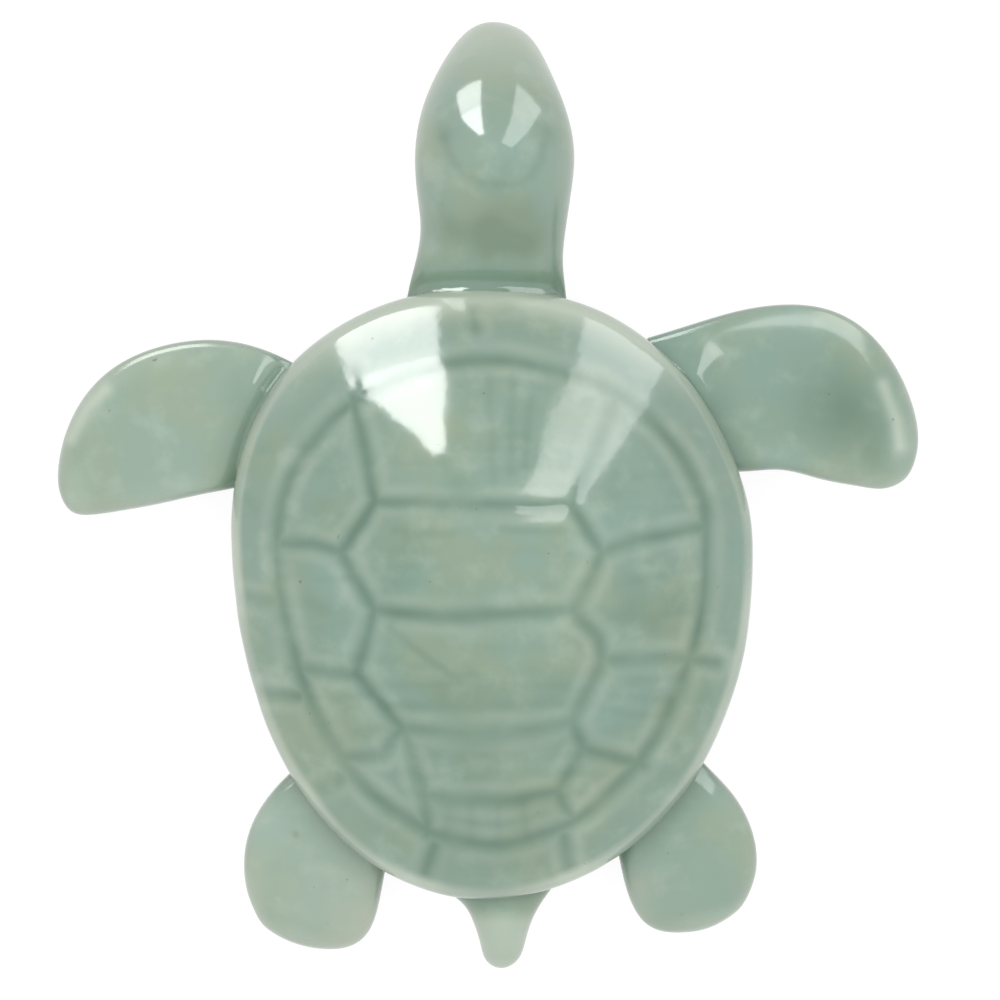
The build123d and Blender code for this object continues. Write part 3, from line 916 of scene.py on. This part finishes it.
# Studio: a pale table and a white room, with a tall bright softbox at the left of the head, a
# broader dim one at its right, a dark gap between them and a fill overhead. A flag keeps the
# top of the bright softbox off the flippers. The camera looks straight down.
table_half = 1.5
bm = bmesh.new()
bmesh.ops.create_grid(bm, x_segments=1, y_segments=1, size=table_half)
table_mesh = bpy.data.meshes.new("table")
bm.to_mesh(table_mesh)
bm.free()
table = bpy.data.objects.new("table", table_mesh)
bpy.context.scene.collection.objects.link(table)


def seen_directly(tree):
    """1 for rays from the camera, a mirror or glass; 0 for the light that falls on things."""
    path = tree.nodes.new("ShaderNodeLightPath")
    total = path.outputs["Is Camera Ray"]
    for name in ("Is Glossy Ray", "Is Transmission Ray"):
        both = tree.nodes.new("ShaderNodeMath")
        both.operation = "MAXIMUM"
        tree.links.new(total, both.inputs[0])
        tree.links.new(path.outputs[name], both.inputs[1])
        total = both.outputs["Value"]
    return total


paper = bpy.data.materials.new("white_table")
paper.use_nodes = True
tree = paper.node_tree
tree.nodes.clear()
output = tree.nodes.new("ShaderNodeOutputMaterial")
choose = tree.nodes.new("ShaderNodeMixShader")
lit = tree.nodes.new("ShaderNodeBsdfDiffuse")
lit.inputs["Color"].default_value = (0.75, 0.75, 0.75, 1)
shaded = tree.nodes.new("ShaderNodeBsdfDiffuse")
shaded.inputs["Color"].default_value = (0.16, 0.16, 0.16, 1)
glow = tree.nodes.new("ShaderNodeEmission")
glow.inputs["Strength"].default_value = 0.90
both = tree.nodes.new("ShaderNodeAddShader")
tree.links.new(shaded.outputs["BSDF"], both.inputs[0])
tree.links.new(glow.outputs["Emission"], both.inputs[1])
tree.links.new(seen_directly(tree), choose.inputs["Fac"])
tree.links.new(lit.outputs["BSDF"], choose.inputs[1])
tree.links.new(both.outputs["Shader"], choose.inputs[2])
tree.links.new(choose.outputs["Shader"], output.inputs["Surface"])
table_mesh.materials.append(paper)

room = bpy.data.worlds.new("white_room")
room.use_nodes = True
tree = room.node_tree
back = tree.nodes["Background"]
level = tree.nodes.new("ShaderNodeMapRange")
level.inputs["To Min"].default_value = 0.60
level.inputs["To Max"].default_value = 1.0
tree.links.new(seen_directly(tree), level.inputs["Value"])
tree.links.new(level.outputs["Result"], back.inputs["Strength"])
back.inputs["Color"].default_value = (1, 1, 1, 1)
bpy.context.scene.world = room


def softbox(name, azimuth, elevation, pitch, roll, half_width, low, high, radiance, shift=0.0):
    """A panel of light a metre from the shell; azimuth is from ahead of the head, to its right."""
    turn, tilt, tip, spin = map(math.radians, (azimuth, elevation, pitch, roll))

    def direction(lift):
        level = math.cos(lift)
        return Vector((math.sin(turn) * level, math.cos(turn) * level, math.sin(lift)))

    towards = direction(tilt)
    facing = direction(tip)
    level_side = Vector((math.cos(turn), -math.sin(turn), 0))
    level_up = level_side.cross(facing)
    side = math.cos(spin) * level_side + math.sin(spin) * level_up
    up = math.cos(spin) * level_up - math.sin(spin) * level_side
    lamp = bpy.data.lights.new(name, "AREA")
    lamp.shape = "RECTANGLE"
    lamp.size = 2 * half_width
    lamp.size_y = high - low
    lamp.energy = radiance * math.pi * lamp.size * lamp.size_y
    holder = bpy.data.objects.new(name, lamp)
    centre = towards + up * (low + high) / 2 + side * shift
    turned = Matrix((-side, up, facing)).transposed().to_4x4()
    holder.matrix_world = Matrix.Translation(centre) @ turned
    bpy.context.scene.collection.objects.link(holder)
    return holder


left_aim = (-26.3, 24.1, 7.3, 10.4)
left_half = 0.199
left_foot = -0.367
left_fold = 0.04
left_shoulder = 0.14
left_radiance = 8.5
left_strips = 12
strip_height = 0.063
shoulder_cut = 0.115
right_aim = (36.8, 36.3, 12.8, -6.7)
mirrored = [
    softbox("left_softbox", *left_aim, left_half, left_fold, left_shoulder, left_radiance),
    softbox("left_reflector", *left_aim, left_half, left_foot, left_fold, 5.6),
    softbox("right_softbox", *right_aim, 0.212, -0.56, 1.167, 2.5),
]
for strip in range(left_strips):
    cut = shoulder_cut * (strip + 0.5) / left_strips
    low = left_shoulder + strip_height * strip
    mirrored.append(
        softbox(
            f"left_softbox_{strip}", *left_aim, left_half - cut, low, low + strip_height,
            left_radiance, cut,
        )
    )
beside_flag = bpy.data.collections.new("beside_flag")
for piece in (plastron, carapace, head, tail):
    beside_flag.objects.link(piece)
for panel in mirrored:
    panel.visible_diffuse = False
for panel in mirrored[-left_strips:]:
    panel.light_linking.receiver_collection = beside_flag
softbox("overhead_fill", 0.0, 90.0, 90.0, 0.0, 0.6, -0.6, 0.6, 1.75).visible_glossy = False

camera_data = bpy.data.cameras.new("camera")
camera_data.lens = 250
camera_data.sensor_width = 36
camera = bpy.data.objects.new("camera", camera_data)
camera.location = (0.0010, 0.00505, 0.889)
bpy.context.scene.collection.objects.link(camera)
bpy.context.scene.camera = camera
bpy.context.scene.view_settings.view_transform = "Standard"
